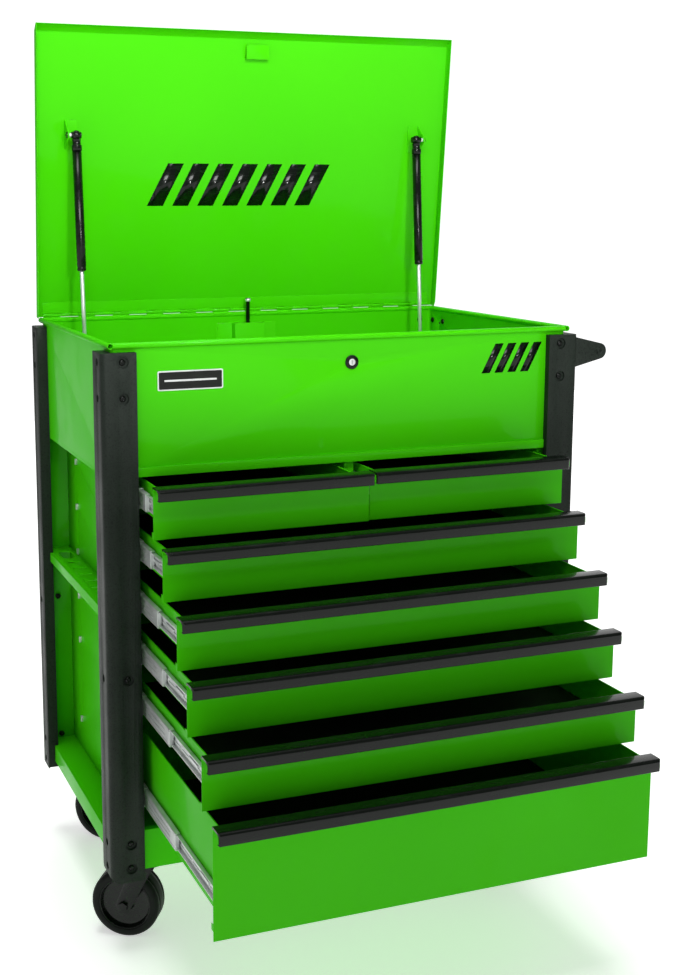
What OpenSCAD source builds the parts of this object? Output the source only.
// Rolling tool chest: sheet steel cabinet with a lidded till, seven drawers on
// ball-bearing slides, open side bays, corner posts, a push handle and casters.
// X runs across the front, Y from front to back, Z up from the floor.

/* [Cabinet] */
// Width over the rolled rim of the till
case_w = 889; // [760:1:1100]
// Depth over the rolled rim of the till
case_d = 559; // [500:1:680]
// Thickness of the painted sheet steel
sheet = 1.2; // [0.9:0.1:1.6]
// Outer radius of the rolled rim
rim_r = 5.25; // [4.5:0.25:6]
// Height of the till from its lower edge to the top of its rim
till_h = 229; // [200:1:320]
// Height of the rail along the lower edge of the till front
rail_h = 16; // [12:1:24]
// Width of the open tool bay on each side
bay_w = 44; // [40:1:90]
// Height of the base tray above the caster plates
tray_h = 35; // [28:1:50]
// Height of the rail below the bottom drawer
base_rail_h = 73; // [68:1:85]
// How far that rail hangs below the base tray
rail_drop = 13; // [5:1:20]
// Height of the bay shelf above the tray
shelf_up = 414; // [250:1:500]

/* [Corner posts] */
// Width of the front flange of a post
post_w = 61; // [52:1:75]
// Width of the side flange of a post
post_side = 58; // [50:1:70]
// Thickness of the post
post_t = 2; // [1.5:0.5:3]
// How far a post stands out from the side of the case
post_out = 20; // [16:1:26]
// How far a post stands out from the front of the case
post_front = 13.5; // [11:0.5:18]
// Radius of the outer corner of a post
post_r = 9; // [6:1:11]
// Radius of a bolt recess in a post
dimple_r = 10; // [8:0.5:12]

/* [Drawers] */
// Height of a shallow drawer front
shallow_h = 90; // [80:1:110]
// Height of the deep bottom drawer front
deep_h = 186; // [160:1:240]
// Gap between drawer fronts
front_gap = 2.5; // [2:0.5:4]
// Length of a drawer box
box_l = 508; // [440:1:508]
// Height of the box floor above the lower edge of a shallow front
box_lift = 28; // [20:1:30]
// How far a drawer pull stands out
pull_out = 27; // [22:1:34]
// Height of the face of a drawer pull
pull_h = 21; // [16:1:24]
// Wall of a drawer pull
pull_t = 2.4; // [2:0.2:3]
// How far each drawer stands open at rest, from the top left to the bottom
open_by = [80, 73, 130, 204, 253, 324, 374];

/* [Slides] */
// Height of a slide
slide_h = 35; // [30:1:35]
// Thickness of a slide between the cabinet wall and the drawer
slide_t = 12.7; // [12.4:0.1:13.5]
// Length of each slide member
slide_l = 500; // [430:1:500]
// Thickness of the steel in a slide
slide_s = 1.3; // [1:0.1:1.5]

/* [Lid] */
// Depth of the side flange of the lid
lid_flange = 20; // [14:1:20]
// Opening angle of the lid, from closed to the rest position
lid_open = 84.5; // [70:0.5:88]
// Width of the sloping nose along the front edge of the lid
nose_w = 20; // [16:1:21]
// Distance of the strut ball from the hinge, along the lid
strut_reach = 360; // [320:1:380]
// Distance of the strut ball below the lid
strut_drop = 25; // [22:1:34]
// Radius of the gas strut tube
strut_r = 9; // [7:0.5:10]
// Radius of the gas strut rod
strut_rod_r = 4; // [3:0.5:5]

/* [Casters] */
// Radius of a caster wheel
wheel_r = 63.5; // [50:0.5:63.5]
// Width of a caster wheel
wheel_w = 50; // [38:1:52]
// Overall height of a caster
caster_h = 165; // [164:1:185]
// Trail of a caster, from its swivel to its axle
trail = 38; // [32:1:42]
// Swivel angle of each caster at rest: front left, front right, rear left, rear right
swivel = [57, 20, -135, -160];

/* [Handle] */
// Distance from the post to the centre of the handle bar
handle_out = 52; // [44:1:70]
// Radius of the handle bar
bar_r = 11; // [9:0.5:14]

/* [Clearances] */
// Radial clearance of a turning pin
run_fit = 0.05; // [0.03:0.01:0.08]
// Smallest gap between parts that pass each other
pass_gap = 0.8; // [0.5:0.1:1]

/* [Hidden] */
$fn = 48;

// Planes of the case, measured from its centre
rim_proud = 6.5;
wall_x = case_w/2 - rim_proud;            // outer face of the till sides
wall_y = case_d/2 - rim_proud;            // outer face of the till front and back
post_x = wall_x + post_out;               // outer face of the posts, sideways
post_y = wall_y + post_front;             // outer face of the posts, frontways
mouth_x = post_x - post_w;                // inner edge of the posts
side_y = post_y - post_side;              // inner edge of the posts' side flanges
bay_x = wall_x - bay_w - sheet;           // inner face of the bay walls
corner_r = 8;                             // bend radius of the till's corners
skirt_h = 10;                             // how far the till's sides hang below its floor

// Heights above the floor
tray_z = caster_h + tray_h;
base_rail_z = caster_h - rail_drop;
rail_lap = 14;                            // how far the bottom front covers that rail
stack_z = base_rail_z + base_rail_h - rail_lap;
shallow_n = 5;
till_z = stack_z + deep_h + shallow_n*shallow_h + shallow_n*front_gap + 2;
rim_z = till_z + till_h;
post_top = rim_z - 16;
post_bottom = base_rail_z - 14;
shelf_z = tray_z + shelf_up;

// Drawers: the row, the two ends, the height and the lower edge of each front
front_half = mouth_x - 4.5;
mid_gap = 2;
front_y = -(wall_y + 3);                  // outer face of a closed drawer front
row = [5, 5, 4, 3, 2, 1, 0];
x_lo = [-front_half, mid_gap, for (i = [2:6]) -front_half];
x_hi = [-mid_gap, front_half, for (i = [2:6]) front_half];
function front_h(i) = row[i] == 0 ? deep_h : shallow_h;
function front_z(i) = stack_z
    + (row[i] > 0 ? deep_h + front_gap + (row[i] - 1)*(shallow_h + front_gap) : 0);
divider_half = 9;
box_gap = slide_t + 0.1;
function box_lo(i) = i == 1 ? divider_half + box_gap : -bay_x + box_gap;
function box_hi(i) = i == 0 ? -divider_half - box_gap : bay_x - box_gap;
function box_z(i) = front_z(i) + (row[i] == 0 ? box_lift + 7 : box_lift);
slide_up = 52;                            // middle of a slide above a shallow front's edge
deep_slide_up = 70;                       // the same for the deep front
function slide_z(i) = front_z(i) + (row[i] == 0 ? deep_slide_up : slide_up);
slide_in = 12;                            // from the drawer front to its slides
slide_y = front_y + sheet + slide_in;     // front end of a closed slide

// Hinge and gas struts, in the plane of one side
hinge_y = case_d/2 + 1.5;
hinge_z = rim_z + 3.5;
knuckle_r = 3.2;
pin_r = 1.5;
plate_z = hinge_z + knuckle_r;            // underside of the closed lid
lid_half = case_w/2 + pass_gap + sheet;
lid_back = hinge_y + 4;
nose_drop = nose_w*sin(45);
lid_front = -(case_d/2 + 9);             // front edge of the closed lid
strut_x = wall_x - 67;
anchor = [hinge_y - 101, rim_z - 155.5];  // lower ball, as y and z
function turned(a, b, t) = [hinge_y - a*cos(t) - b*sin(t), hinge_z + a*sin(t) - b*cos(t)];
strut_top = turned(strut_reach, strut_drop, lid_open);
strut_shut = turned(strut_reach, strut_drop, 0);
strut_len = norm(strut_top - anchor);
strut_min = norm(strut_shut - anchor);
strut_lean = atan2(strut_top[0] - anchor[0], strut_top[1] - anchor[1]);
ball_r = 5;
end_l = 24;                               // from each ball to the tube or the rod
tube_l = strut_min - 2*end_l - 3;

// Casters
caster_in = 23;                           // from the posts' inner edges to the casters
caster_back = 57.5;                       // from the rim's edge to the casters
caster_x = mouth_x - caster_in;
caster_y = case_d/2 - caster_back;
caster_at = [[-caster_x, -caster_y], [caster_x, -caster_y],
    [-caster_x, caster_y], [caster_x, caster_y]];
axle_r = 6;

// Lock and latch
lock_z = rim_z - 50;
lock_r = 9;
latch_y = wall_y - sheet - 11;
latch_up = plate_z + 22;                  // top of the latch rod at rest
rod_r = 4;
cover_up = 18;                            // height of the latch cover above the till floor

// The whole object stands on the floor with its origin under the middle of its box
reach_right = post_x + handle_out + bar_r + 4;
tyre_r = 7;                               // rounding of the tyre's shoulders
reach_left = -max(post_x, caster_x + trail*sin(swivel[0]) + tyre_r
    + (wheel_w/2 - tyre_r)*cos(swivel[0]) + (wheel_r - tyre_r)*sin(swivel[0]));
reach_front = front_y - max(open_by) - pull_out;
reach_back = post_y;
origin = [-(reach_left + reach_right)/2, -(reach_front + reach_back)/2, 0];

green = [0.25, 0.72, 0.06];
black = [0.08, 0.09, 0.08];
zinc = [0.72, 0.73, 0.74];

// ---------- helpers ----------
module block(x0, x1, y0, y1, z0, z1) {
    translate([x0, y0, z0]) cube([x1 - x0, y1 - y0, z1 - z0]);
}
module round_rect(x, y, r) {
    square([2*x - 2*r, 2*y], center = true);
    square([2*x, 2*y - 2*r], center = true);
    for (sx = [-1, 1], sy = [-1, 1]) translate([sx*(x - r), sy*(y - r)]) circle(r);
}
module stadium(l, r) {
    square([l - 2*r, 2*r], center = true);
    for (s = [-1, 1]) translate([s*(l/2 - r), 0]) circle(r);
}
// Domed bolt along +Z, its seat at z = 0
module bolt(head, h, shank, l) {
    difference() {
        union() {
            intersection() {
                translate([0, 0, h - head*1.25]) sphere(head*1.25);
                cylinder(h = h, r = head);
            }
            translate([0, 0, -l]) cylinder(h = l + 0.4, r = shank);
        }
        translate([0, 0, h - 2]) cylinder(h = 3, r = head*0.4);
    }
}
module at_side(s) { mirror([s > 0 ? 0 : 1, 0, 0]) children(); }

// ---------- base ----------
module base_tray() color(green) {
    block(-wall_x, wall_x, -wall_y + sheet, wall_y - sheet, tray_z - sheet, tray_z);
    for (s = [-1, 1]) at_side(s) {
        block(wall_x - 1, wall_x + 6, -side_y + 1, side_y - 1, tray_z - sheet, tray_z);
        block(wall_x + 6, wall_x + 6 + sheet, -side_y + 1, side_y - 1, caster_h, tray_z);
        block(wall_x - 8, wall_x + 6.5, -side_y + 1, side_y - 1, caster_h, caster_h + sheet);
    }
    for (s = [-1, 1]) mirror([0, s > 0 ? 0 : 1, 0])
        block(-wall_x, wall_x, wall_y - 2*sheet, wall_y - sheet, caster_h, tray_z - 0.5);
}

plate_x = 38;
plate_y = 45;
module caster_channels() color(black) {
    for (s = [-1, 1]) mirror([0, s > 0 ? 0 : 1, 0]) {
        difference() {
            block(-wall_x + 10, wall_x - 10, caster_y - 40, caster_y + 40,
                caster_h, tray_z - sheet);
            block(-wall_x, wall_x, caster_y - 38, caster_y + 38, caster_h + 2, tray_z);
        }
        for (t = [-1, 1]) difference() {
            block(t*caster_x - plate_x, t*caster_x + plate_x,
                caster_y - plate_y, caster_y + plate_y, caster_h - 4, caster_h);
            for (u = [-1, 1], v = [-1, 1])
                translate([t*caster_x + u*29, caster_y + v*36, caster_h - 5])
                    cylinder(h = 6, r = 4.5);
        }
    }
}

module front_rail() color(green) {
    block(-wall_x, wall_x, -wall_y, -wall_y + sheet, base_rail_z, base_rail_z + base_rail_h);
    block(-wall_x, wall_x, -wall_y + sheet, -wall_y + 14,
        base_rail_z + base_rail_h - sheet, base_rail_z + base_rail_h);
}

// ---------- case ----------
hook_in = 87;                             // from the till's walls to the slides' hooks
hook_drop = 14;                           // how far the hooks sit below a slide's middle
hook_y = wall_y - hook_in;
function hook_z(i) = slide_z(i) - hook_drop;
module bay_wall(s) color(green) at_side(s) difference() {
    union() {
        block(bay_x, bay_x + sheet, -wall_y + 14, wall_y - sheet, tray_z, till_z);
        block(bay_x + sheet, wall_x - sheet, -wall_y + 14, -wall_y + 14 + sheet,
            tray_z, till_z);
    }
    for (i = [1:6], y = [-hook_y, hook_y])
        block(bay_x - 1, bay_x + 2, y - 3.5, y + 3.5, hook_z(i) - 6.5, hook_z(i) + 6.5);
}
module bay_wall_left() bay_wall(-1);
module bay_wall_right() bay_wall(1);

module back_panel() color(green) difference() {
    block(-wall_x, wall_x, wall_y - sheet, wall_y, caster_h, till_z);
    for (x = [-200, 200], z = [tray_z + 60 : 60 : tray_z + 180])
        translate([x, wall_y - 5, z]) rotate([-90, 0, 0])
            linear_extrude(10) stadium(90, 4);
}

module rim(l, end) {
    rotate([0, 90, 0]) linear_extrude(l - 2*end, center = true) difference() {
        circle(rim_r);
        circle(rim_r - sheet);
    }
}
module till_shell() color(green) difference() {
    union() {
        translate([0, 0, till_z]) linear_extrude(till_h - rim_r) difference() {
            round_rect(wall_x, wall_y, corner_r);
            round_rect(wall_x - sheet, wall_y - sheet, corner_r - sheet);
        }
        for (s = [-1, 1]) at_side(s)
            block(wall_x - sheet, wall_x, -side_y + 1, side_y - 1, till_z - skirt_h, till_z + 1);
        for (s = [-1, 1]) {
            translate([0, s*(case_d/2 - rim_r), rim_z - rim_r]) rim(case_w, 9);
            translate([s*(case_w/2 - rim_r), 0, rim_z - rim_r]) rotate([0, 0, 90])
                rim(case_d, 2);
        }
    }
    translate([0, -wall_y - 2, lock_z]) rotate([-90, 0, 0])
        cylinder(h = 8, r = lock_r + 0.3);
    for (s = [-1, 1], z = [rim_z - 36, rim_z - 96])
        translate([s*(wall_x - 3), wall_y - 48, z]) rotate([0, 90, 0])
            cylinder(h = 6, r = 3.5);
}

module till_floor() color(green) {
    in_x = wall_x - sheet;
    in_y = wall_y - sheet;
    translate([0, 0, till_z]) linear_extrude(sheet) round_rect(in_x, in_y, corner_r - sheet);
    difference() {
        block(-mouth_x + 0.5, mouth_x - 0.5, -wall_y - 4, -wall_y, till_z, till_z + rail_h);
        block(-mouth_x - 1, mouth_x + 1, -wall_y - 4 + sheet, -wall_y + 1,
            till_z - 1, till_z + rail_h - sheet);
    }
}

module drawer_divider() color(green) {
    z0 = front_z(0) + 12;
    for (s = [-1, 1]) at_side(s)
        block(divider_half - sheet, divider_half, -wall_y + 8, wall_y - sheet - 1, z0, till_z);
    block(-divider_half + sheet, divider_half - sheet, -wall_y + 8, -wall_y + 8 + sheet,
        z0, till_z);
    block(-divider_half + sheet, divider_half - sheet, -wall_y + 10, wall_y - 8,
        z0, z0 + sheet);
}

// ---------- posts ----------
bolt_z = [post_top - 16, post_top - 77, shelf_z - 105, tray_z + 8, tray_z - 37];
dimple_in = 37;                           // from a post's outer face to its front bolts
dimple_x = post_x - dimple_in;
dimple_y = (post_y + side_y)/2 + 1;
cup = 4.5;
module post_plan(inset) {
    t = inset;
    difference() {
        union() {
            translate([mouth_x + t, wall_y]) square([post_w - 2*t, post_front - t]);
            translate([wall_x, side_y + t]) square([post_out - t, post_side - 2*t]);
        }
        translate([post_x - t - post_r + t, post_y - t - post_r + t]) difference() {
            square(post_r + 1);
            circle(post_r - t);
        }
    }
}
module post(sx, sy) color(black) mirror([sx > 0 ? 0 : 1, 0, 0])
    mirror([0, sy > 0 ? 0 : 1, 0]) difference() {
        union() {
            translate([0, 0, post_bottom]) linear_extrude(post_top - post_bottom)
                difference() {
                    post_plan(0);
                    post_plan(post_t);
                }
            translate([0, 0, post_top - post_t]) linear_extrude(post_t) post_plan(0);
            for (z = bolt_z) {
                translate([dimple_x, post_y - cup - post_t, z]) rotate([-90, 0, 0])
                    cylinder(h = cup + 1, r = dimple_r + post_t);
                translate([post_x - cup - post_t, dimple_y, z]) rotate([0, 90, 0])
                    cylinder(h = cup + 1, r = dimple_r + post_t - 3);
            }
        }
        for (z = bolt_z) {
            translate([dimple_x, post_y - cup, z]) rotate([-90, 0, 0])
                cylinder(h = cup + 3, r = dimple_r);
            translate([dimple_x, post_y - cup - 5, z]) rotate([-90, 0, 0])
                cylinder(h = cup + 3, r = 3.4);
            translate([post_x - cup, dimple_y, z]) rotate([0, 90, 0])
                cylinder(h = cup + 3, r = dimple_r - 3);
            translate([post_x - cup - 5, dimple_y, z]) rotate([0, 90, 0])
                cylinder(h = cup + 3, r = 3.4);
        }
        translate([0, side_y, post_bottom]) rotate([45, 0, 0])
            cube([2*post_x, 22, 22], center = true);
        translate([post_x, 0, post_bottom]) rotate([0, 45, 0])
            cube([16, 3*post_y, 16], center = true);
    }
module post_front_left() post(-1, -1);
module post_front_right() post(1, -1);
module post_rear_left() post(-1, 1);
module post_rear_right() post(1, 1);

stud_x = strut_x + 17;
module case_fasteners() color(black) {
    for (sx = [-1, 1], sy = [-1, 1]) mirror([sx > 0 ? 0 : 1, 0, 0])
        mirror([0, sy > 0 ? 0 : 1, 0]) for (z = bolt_z) {
            translate([dimple_x, post_y - cup, z]) rotate([-90, 0, 0])
                bolt(5.5, 3.6, 3.3, post_front - cup);
            translate([post_x - cup, dimple_y, z]) rotate([0, 90, 0])
                bolt(4.5, 3.2, 3.3, 9);
        }
    // Bolt tails and nuts that show inside the bays, behind the rear posts
    for (s = [-1, 1]) at_side(s) for (z = [bolt_z[2], tray_z + 8])
        translate([dimple_x, wall_y - sheet, z]) rotate([90, 0, 0]) {
            cylinder(h = 9, r = 3.3);
            cylinder(h = 4.5, r = 6, $fn = 6);
        }
    // Bolt heads inside the rear corners of the till
    for (s = [-1, 1]) at_side(s) {
        translate([wall_x - 26, wall_y - sheet, rim_z - 30]) rotate([90, 0, 0])
            bolt(6, 4, 3, 0);
        for (y = [wall_y - 17, wall_y - 64])
            translate([wall_x - sheet, y, rim_z - 31]) rotate([0, -90, 0])
                bolt(6, 4, 3, 0);
    }
    // Lower strut studs, on brackets fixed to the till sides
    for (s = [-1, 1]) at_side(s) {
        difference() {
            block(stud_x, wall_x - sheet, anchor[0] - 14, anchor[0] + 14,
                anchor[1] - 16, anchor[1] + 16);
            block(stud_x + 2.5, wall_x - sheet - 2.5, anchor[0] - 20, anchor[0] + 20,
                anchor[1] - 20, anchor[1] + 13.5);
        }
        translate([strut_x - 8, anchor[0], anchor[1]]) rotate([0, 90, 0])
            cylinder(h = stud_x - strut_x + 8, r = ball_r - 1);
    }
}

// ---------- bays ----------
module shelf(s) color(green) at_side(s) difference() {
    union() {
        block(bay_x + sheet, wall_x - sheet, -wall_y + 14 + sheet, wall_y - sheet,
            shelf_z - sheet, shelf_z);
        block(wall_x - sheet, wall_x + 6, -side_y + 1, side_y - 1, shelf_z - sheet, shelf_z);
        block(wall_x + 6 - sheet, wall_x + 6, -side_y + 1, side_y - 1, shelf_z - 18, shelf_z);
        block(bay_x + sheet, bay_x + 2*sheet, -side_y, side_y, shelf_z - 15, shelf_z);
    }
    translate([bay_x + bay_w/2 + 1, wall_y - 75, shelf_z - 5]) rotate([0, 0, 90])
        linear_extrude(10) stadium(56, 13);
    for (i = [0:6]) translate([bay_x + bay_w/2 + 1, wall_y - 135 - 48*i, shelf_z - 5])
        linear_extrude(10) stadium(26, 4.5);
}
module shelf_left() shelf(-1);
module shelf_right() shelf(1);

// ---------- handle ----------
bar_x = post_x + handle_out;
bar_z = rim_z - 50;
bracket_y = post_y - 6;
module handle_bracket() {
    translate([0, bracket_y, 0]) rotate([90, 0, 0]) linear_extrude(4) difference() {
        union() {
            translate([bar_x, bar_z]) circle(bar_r + 4);
            polygon([[post_x, bar_z - 28], [post_x, bar_z + 28],
                [bar_x + 4, bar_z + bar_r + 3.4], [bar_x + 4, bar_z - bar_r - 3.4]]);
        }
        translate([bar_x, bar_z]) circle(4);
    }
    difference() {
        block(post_x, post_x + 3, bracket_y - 40, bracket_y - 4, bar_z - 28, bar_z + 28);
        for (z = [post_top - 16, post_top - 77]) translate([post_x - 1, dimple_y, z])
            rotate([0, 90, 0]) cylinder(h = 6, r = dimple_r - 2);
    }
}
module handle_brackets() color(black) for (s = [-1, 1])
    mirror([0, s > 0 ? 0 : 1, 0]) handle_bracket();
module handle_bar() color(black) {
    translate([bar_x, 0, bar_z]) rotate([90, 0, 0]) difference() {
        cylinder(h = 2*bracket_y - 8, r = bar_r, center = true);
        cylinder(h = 2*bracket_y, r = bar_r - 2, center = true);
    }
    for (s = [-1, 1]) mirror([0, s > 0 ? 0 : 1, 0])
        translate([bar_x, bracket_y - 8, bar_z]) rotate([-90, 0, 0]) {
            cylinder(h = 4, r = bar_r - 2);
            cylinder(h = 8, r = 4);
            translate([0, 0, 8]) bolt(6, 3.5, 3, 0);
        }
}

// ---------- slides, drawn for a wall whose inner face is at x = 0, drawer towards -x ----------
half_h = slide_h/2;
module slide_outer() {
    difference() {
        translate([-slide_t + 2.5, slide_y, -half_h]) cube([slide_t - 2.5, slide_l, slide_h]);
        translate([-slide_t, slide_y - 1, -half_h + slide_s])
            cube([slide_t - slide_s, slide_l + 2, slide_h - 2*slide_s]);
    }
}
module slide_middle() color(zinc) {
    h = half_h - slide_s - pass_gap;
    difference() {
        translate([-slide_t + 2, slide_y, -h]) cube([slide_t - 2 - slide_s - 0.5, slide_l, 2*h]);
        translate([-slide_t, slide_y - 1, -h + slide_s])
            cube([slide_t - 2*slide_s - 0.5, slide_l + 2, 2*h - 2*slide_s]);
    }
}
module slide_inner() {
    h = half_h - 2*slide_s - 2*pass_gap - 1;
    difference() {
        translate([-slide_t, slide_y, -h]) cube([slide_t - 2*slide_s - 2.5, slide_l, 2*h]);
        translate([-slide_t + slide_s, slide_y - 1, -h + slide_s])
            cube([slide_t, slide_l + 2, 2*h - 2*slide_s]);
    }
}
// Puts a slide member on both sides of drawer i, moved forward by e
module both_slides(i, e) {
    wall_lo = i == 1 ? divider_half : -bay_x;
    wall_hi = i == 0 ? -divider_half : bay_x;
    translate([wall_hi, -e, slide_z(i)]) children();
    translate([wall_lo, -e, slide_z(i)]) mirror([1, 0, 0]) children();
}
module slide_channels() color(zinc) {
    for (i = [0:6]) both_slides(i, 0) slide_outer();
    // Hooks that hold the slides through the bay walls
    for (s = [-1, 1], i = [1:6], y = [-hook_y, hook_y]) at_side(s)
        block(bay_x, bay_x + 5, y - 3, y + 3, hook_z(i) - 6, hook_z(i) + 6);
}
module slide_pair(i) color(zinc) both_slides(i, open_by[i]/2) slide_middle();
module slide_1() slide_pair(0);
module slide_2() slide_pair(1);
module slide_3() slide_pair(2);
module slide_4() slide_pair(3);
module slide_5() slide_pair(4);
module slide_6() slide_pair(5);
module slide_7() slide_pair(6);

// ---------- drawers ----------
hem = 3.6;
module drawer(i) {
    e = open_by[i];
    y0 = front_y + sheet;
    y1 = front_y + box_l;
    top = front_z(i) + front_h(i);
    side_top = top - 6;
    a = box_lo(i);
    b = box_hi(i);
    color(green) translate([0, -e, 0]) {
        // front, with a forward curl along its top and a tab at each lower corner
        block(x_lo[i], x_hi[i], front_y, y0, front_z(i), top - pull_t - 0.4);
        block(x_lo[i], x_hi[i], front_y - 9, front_y, top - pull_t - 0.4 - sheet,
            top - pull_t - 0.4);
        block(x_lo[i], x_hi[i], front_y - 9, front_y - 9 + sheet, top - pull_t - 8, top - 3);
        tab_z = front_z(i) + (row[i] == 0 ? rail_lap + 2 : 0);
        for (x = [x_lo[i], x_hi[i] - sheet]) block(x, x + sheet, y0, y0 + 9, tab_z, tab_z + 11);
        // box with hemmed edges
        block(a, b, y0, y1, box_z(i), box_z(i) + sheet);
        block(a, a + sheet, y0, y1, box_z(i) + sheet, side_top);
        block(b - sheet, b, y0, y1, box_z(i) + sheet, side_top);
        block(a + sheet, b - sheet, y1 - sheet, y1, box_z(i) + sheet, side_top);
        for (x = [a + sheet, b - sheet - 1.8])
            block(x, x + 1.8, y0, y1 - sheet, side_top - hem, side_top);
        block(a + sheet, b - sheet, y1 - sheet - 1.8, y1 - sheet, side_top - hem, side_top);
    }
    color(zinc) both_slides(i, e) slide_inner();
}
module drawer_1() drawer(0);
module drawer_2() drawer(1);
module drawer_3() drawer(2);
module drawer_4() drawer(3);
module drawer_5() drawer(4);
module drawer_6() drawer(5);
module drawer_7() drawer(6);

// Pull section: x is how far it stands out, y is the height, top at y = 0
module pull_plan() {
    r = 7;
    difference() {
        union() {
            translate([-sheet - 2, -6]) square([2, 6]);
            translate([-sheet - 2, -pull_t]) square([pull_out + sheet + 2 - r, pull_t]);
            translate([pull_out - pull_t, -pull_h]) square([pull_t, pull_h - r]);
            translate([pull_out - 6, -pull_h]) square([6, pull_t]);
            translate([pull_out - r, -r]) intersection() {
                circle(r);
                square(r);
            }
        }
        translate([pull_out - r, -r]) intersection() {
            circle(r - pull_t);
            square(r);
        }
        translate([pull_out - r - 1, -r - 2]) square([r + 1 - pull_t, 2.01]);
    }
}
module pull(i) color(black)
    translate([(x_lo[i] + x_hi[i])/2, front_y - open_by[i], front_z(i) + front_h(i)])
        rotate([90, 0, -90]) linear_extrude(x_hi[i] - x_lo[i] - 0.4, center = true) pull_plan();
module pull_1() pull(0);
module pull_2() pull(1);
module pull_3() pull(2);
module pull_4() pull(3);
module pull_5() pull(4);
module pull_6() pull(5);
module pull_7() pull(6);

// ---------- latch and lock ----------
module latch_cover() color(green) difference() {
    union() {
        block(-33, 33, latch_y - 12, wall_y - sheet, till_z + cover_up, rim_z - 23);
        block(-66, 66, wall_y - sheet - 1.5, wall_y - sheet, till_z + cover_up, rim_z - 23);
    }
    block(-31.5, 31.5, latch_y - 10.5, wall_y - sheet, till_z, rim_z - 24.5);
    translate([0, latch_y, rim_z - 40]) cylinder(h = 30, r = rod_r + run_fit);
}
module latch_rod() color(black) translate([0, latch_y, 0]) {
    translate([0, 0, rim_z - 80]) cylinder(h = latch_up - rim_z + 80 - 6, r = rod_r);
    translate([0, 0, latch_up - 6]) cylinder(h = 6, r = rod_r + 1.5);
}
module lock_body() color(black) difference() {
    union() {
        translate([0, -wall_y - 2.5, lock_z]) rotate([-90, 0, 0])
            cylinder(h = 2.5, r = lock_r + 3.5);
        translate([0, -wall_y - 1, lock_z]) rotate([-90, 0, 0]) cylinder(h = 24, r = lock_r);
    }
    translate([0, -wall_y - 5, lock_z]) rotate([-90, 0, 0])
        cylinder(h = 40, r = 6 + run_fit);
}
module lock_barrel() color(zinc) translate([0, -wall_y - 3, lock_z]) rotate([-90, 0, 0]) {
    difference() {
        cylinder(h = 26, r = 6);
        translate([-0.8, -4, -1]) cube([1.6, 8, 9]);
    }
    translate([-6, -6, 26]) cube([12, 34, 2]);
}

// ---------- lid, drawn closed and then opened ----------
module opened() {
    translate([0, hinge_y, hinge_z]) rotate([-lid_open, 0, 0])
        translate([0, -hinge_y, -hinge_z]) children();
}
flange_z = plate_z + sheet - lid_flange - 1.2;
// Side outline of the lid, drawn t inside its outer faces and open below and behind
module lid_outline(t) {
    past = t > 0 ? 1 : 0;
    bend = t*tan(22.5);
    top_z = plate_z + sheet;
    polygon([[lid_back + past, top_z - t], [lid_front + nose_drop + bend, top_z - t],
        [lid_front + t, top_z - nose_drop - bend], [lid_front + t, flange_z - past],
        [lid_back - (1 - past)*12, flange_z - past], [lid_back + past, flange_z + (1 - past)*6]]);
}
module lid_panel() color(green) opened() rotate([90, 0, 90]) difference() {
    linear_extrude(2*lid_half, center = true) lid_outline(0);
    linear_extrude(2*lid_half - 2*sheet, center = true) lid_outline(sheet);
}
leaf_half = case_w/2 - 10;
seg = 2*leaf_half/24;
module knuckles(from) {
    for (i = [from : 2 : 23]) translate([-leaf_half + i*seg + 0.3, hinge_y, hinge_z])
        rotate([0, 90, 0]) difference() {
            cylinder(h = seg - 0.6, r = knuckle_r);
            translate([0, 0, -1]) cylinder(h = seg + 2,
                r = pin_r + (from == 1 ? run_fit : 0));
        }
}
module hinge_case_leaf() color(green) {
    knuckles(0);
    block(-leaf_half, leaf_half, case_d/2, case_d/2 + 1, rim_z - 14, hinge_z - knuckle_r - 0.5);
    for (i = [0 : 2 : 23]) translate([-leaf_half + i*seg, 0, 0])
        block(0.3, seg - 0.3, case_d/2, case_d/2 + 1, hinge_z - knuckle_r - 0.6, hinge_z - 2);
    translate([-leaf_half, hinge_y, hinge_z]) rotate([0, 90, 0])
        cylinder(h = 2*leaf_half, r = pin_r);
}
module hinge_lid_leaf() color(green) opened() {
    difference() {
        union() {
            knuckles(1);
            block(-leaf_half, leaf_half, hinge_y - 26, hinge_y - knuckle_r - 0.5,
                plate_z - 1, plate_z);
            for (i = [1 : 2 : 23]) translate([-leaf_half + i*seg, 0, 0])
                block(0.3, seg - 0.3, hinge_y - knuckle_r - 0.6, hinge_y, plate_z - 1, plate_z);
        }
        translate([-leaf_half - 1, hinge_y, hinge_z]) rotate([0, 90, 0])
            cylinder(h = 2*leaf_half + 2, r = pin_r + run_fit);
    }
}
top_stud_x = strut_x + strut_r + 6;
module lid_hardware() color(black) opened() {
    by = hinge_y - strut_reach;
    bz = hinge_z - strut_drop;
    for (s = [-1, 1]) at_side(s) {
        // bracket web stands outboard of the strut, its stud points inward
        color(green) {
            translate([top_stud_x, 0, 0]) rotate([90, 0, 90]) linear_extrude(2.5) union() {
                translate([by, bz]) circle(8);
                polygon([[by - 28, plate_z], [by - 7, bz - 4], [by + 7, bz - 4], [by + 28, plate_z]]);
            }
            block(top_stud_x - 22, top_stud_x, by - 28, by + 28, plate_z - 2, plate_z);
        }
        translate([top_stud_x - 4, by, bz]) rotate([0, 90, 0]) cylinder(h = 4, r = 3.5);
        translate([top_stud_x + 2.5, by, bz]) rotate([0, 90, 0]) bolt(6, 4, 3, 0);
    }
    color(green) difference() {
        block(-14, 34, lid_front + nose_drop + 12, lid_front + nose_drop + 40,
            plate_z - 10, plate_z);
        block(-16, 36, lid_front + nose_drop + 10, lid_front + nose_drop + 38.5,
            plate_z - 8.5, plate_z + 1);
    }
}

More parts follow.
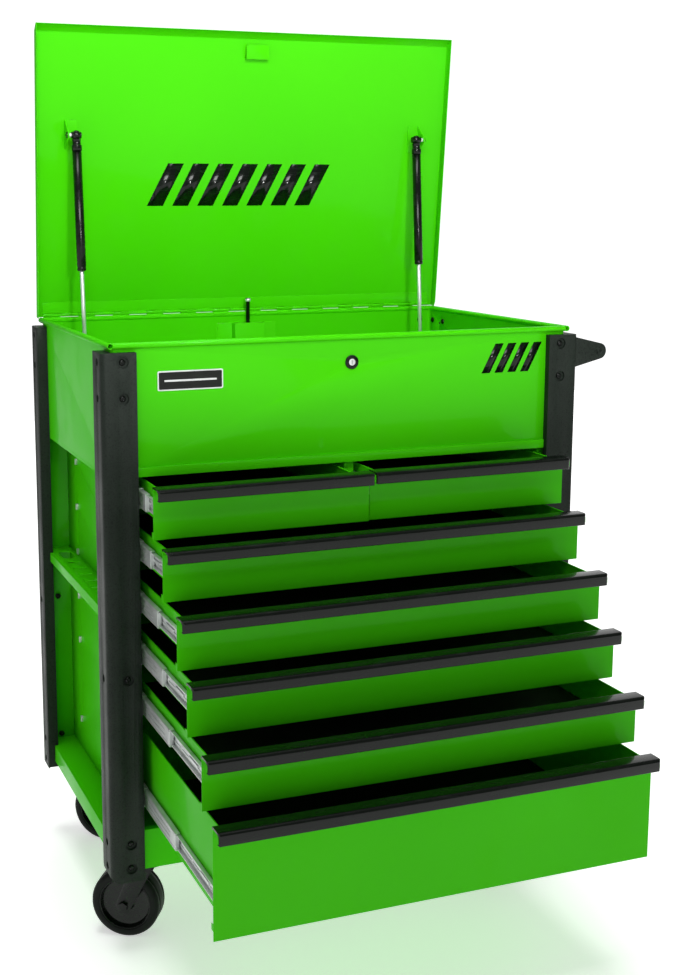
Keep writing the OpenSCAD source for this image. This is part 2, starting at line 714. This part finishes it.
// ---------- gas struts, drawn upright from the lower stud and then leant ----------
module leant() {
    translate([0, anchor[0], anchor[1]]) rotate([-strut_lean, 0, 0]) children();
}
module strut_rod(s) at_side(s) translate([strut_x, 0, 0]) leant() {
    color(black) difference() {
        union() {
            rotate([0, 90, 0]) cylinder(h = 11, r = ball_r + 3, center = true);
            cylinder(h = end_l, r = 6);
        }
        rotate([0, 90, 0]) cylinder(h = 40, r = ball_r - 1 + run_fit, center = true);
    }
    color(zinc) translate([0, 0, end_l]) cylinder(h = strut_min - 2*end_l - 6, r = strut_rod_r);
}
module strut_tube(s) color(black) at_side(s) translate([strut_x, 0, 0]) leant()
    difference() {
        union() {
            translate([0, 0, strut_len - end_l - tube_l]) cylinder(h = tube_l, r = strut_r);
            translate([0, 0, strut_len - end_l - 6]) cylinder(h = end_l + 6, r = strut_r + 1);
            translate([0, 0, strut_len]) sphere(strut_r + 1);
        }
        translate([0, 0, strut_len - end_l - tube_l - 1]) cylinder(h = tube_l - 4,
            r = strut_rod_r + run_fit);
    }
module strut_rod_left() strut_rod(-1);
module strut_rod_right() strut_rod(1);
module strut_tube_left() strut_tube(-1);
module strut_tube_right() strut_tube(1);

// ---------- casters, drawn about the swivel axis, trailing towards +Y ----------
module fork(i) color(black) translate([caster_at[i][0], caster_at[i][1], 0])
    rotate([0, 0, swivel[i]]) {
        half = wheel_w/2 + 2;
        difference() {
            union() {
                translate([0, 0, caster_h - 17]) cylinder(h = 12.6, r = 26);
                translate([0, 0, caster_h - 23]) cylinder(h = 6.5, r = 34);
                for (s = [-1, 1]) at_side(s) difference() {
                    translate([half, 0, 0]) rotate([90, 0, 90]) linear_extrude(4)
                        polygon([[-20, caster_h - 20], [22, caster_h - 20],
                            [trail + 15, wheel_r], [trail + 8, wheel_r - 14],
                            [trail - 8, wheel_r - 14], [trail - 16, wheel_r]]);
                    translate([half - 1, trail, wheel_r]) rotate([0, 90, 0])
                        cylinder(h = 6, r = axle_r);
                }
            }
            translate([0, 0, caster_h - 24]) cylinder(h = 22, r = 5);
        }
        translate([0, trail, wheel_r]) rotate([0, 90, 0]) {
            cylinder(h = 2*half + 8, r = axle_r, center = true);
            for (s = [-1, 1]) translate([0, 0, s*(half + 7)])
                cylinder(h = 6, r = 9, $fn = 6, center = true);
        }
    }
module wheel(i) color(black) translate([caster_at[i][0], caster_at[i][1], 0])
    rotate([0, 0, swivel[i]]) translate([0, trail, wheel_r]) rotate([0, 90, 0])
        rotate_extrude($fn = 96) wheel_plan();
module wheel_plan() {
    w = wheel_w/2;
    bore = axle_r + run_fit;
    translate([bore, -w]) square([13 - bore, 2*w]);
    translate([12, -w + 12]) square([wheel_r - 24, 2*w - 24]);
    difference() {
        translate([wheel_r - 16, -w]) square([16, 2*w]);
        for (s = [-1, 1]) translate([wheel_r - tyre_r, s*(w - tyre_r)]) difference() {
            translate([0, s > 0 ? 0 : -tyre_r - 1]) square(tyre_r + 1);
            circle(tyre_r);
        }
    }
}
module fork_front_left() fork(0);
module fork_front_right() fork(1);
module fork_rear_left() fork(2);
module fork_rear_right() fork(3);
module wheel_front_left() wheel(0);
module wheel_front_right() wheel(1);
module wheel_rear_left() wheel(2);
module wheel_rear_right() wheel(3);

translate(origin) base_tray();
translate(origin) caster_channels();
translate(origin) front_rail();
translate(origin) bay_wall_left();
translate(origin) bay_wall_right();
translate(origin) back_panel();
translate(origin) till_shell();
translate(origin) till_floor();
translate(origin) drawer_divider();
translate(origin) post_front_left();
translate(origin) post_front_right();
translate(origin) post_rear_left();
translate(origin) post_rear_right();
translate(origin) case_fasteners();
translate(origin) shelf_left();
translate(origin) shelf_right();
translate(origin) handle_brackets();
translate(origin) handle_bar();
translate(origin) slide_channels();
translate(origin) latch_cover();
translate(origin) hinge_case_leaf();
translate(origin) lock_body();
translate(origin) lid_panel();
translate(origin) hinge_lid_leaf();
translate(origin) lid_hardware();
translate(origin) strut_rod_left();
translate(origin) strut_tube_left();
translate(origin) strut_rod_right();
translate(origin) strut_tube_right();
translate(origin) lock_barrel();
translate(origin) latch_rod();
translate(origin) drawer_1();
translate(origin) drawer_2();
translate(origin) drawer_3();
translate(origin) drawer_4();
translate(origin) drawer_5();
translate(origin) drawer_6();
translate(origin) drawer_7();
translate(origin) pull_1();
translate(origin) pull_2();
translate(origin) pull_3();
translate(origin) pull_4();
translate(origin) pull_5();
translate(origin) pull_6();
translate(origin) pull_7();
translate(origin) slide_1();
translate(origin) slide_2();
translate(origin) slide_3();
translate(origin) slide_4();
translate(origin) slide_5();
translate(origin) slide_6();
translate(origin) slide_7();
translate(origin) fork_front_left();
translate(origin) fork_front_right();
translate(origin) fork_rear_left();
translate(origin) fork_rear_right();
translate(origin) wheel_front_left();
translate(origin) wheel_front_right();
translate(origin) wheel_rear_left();
translate(origin) wheel_rear_right();
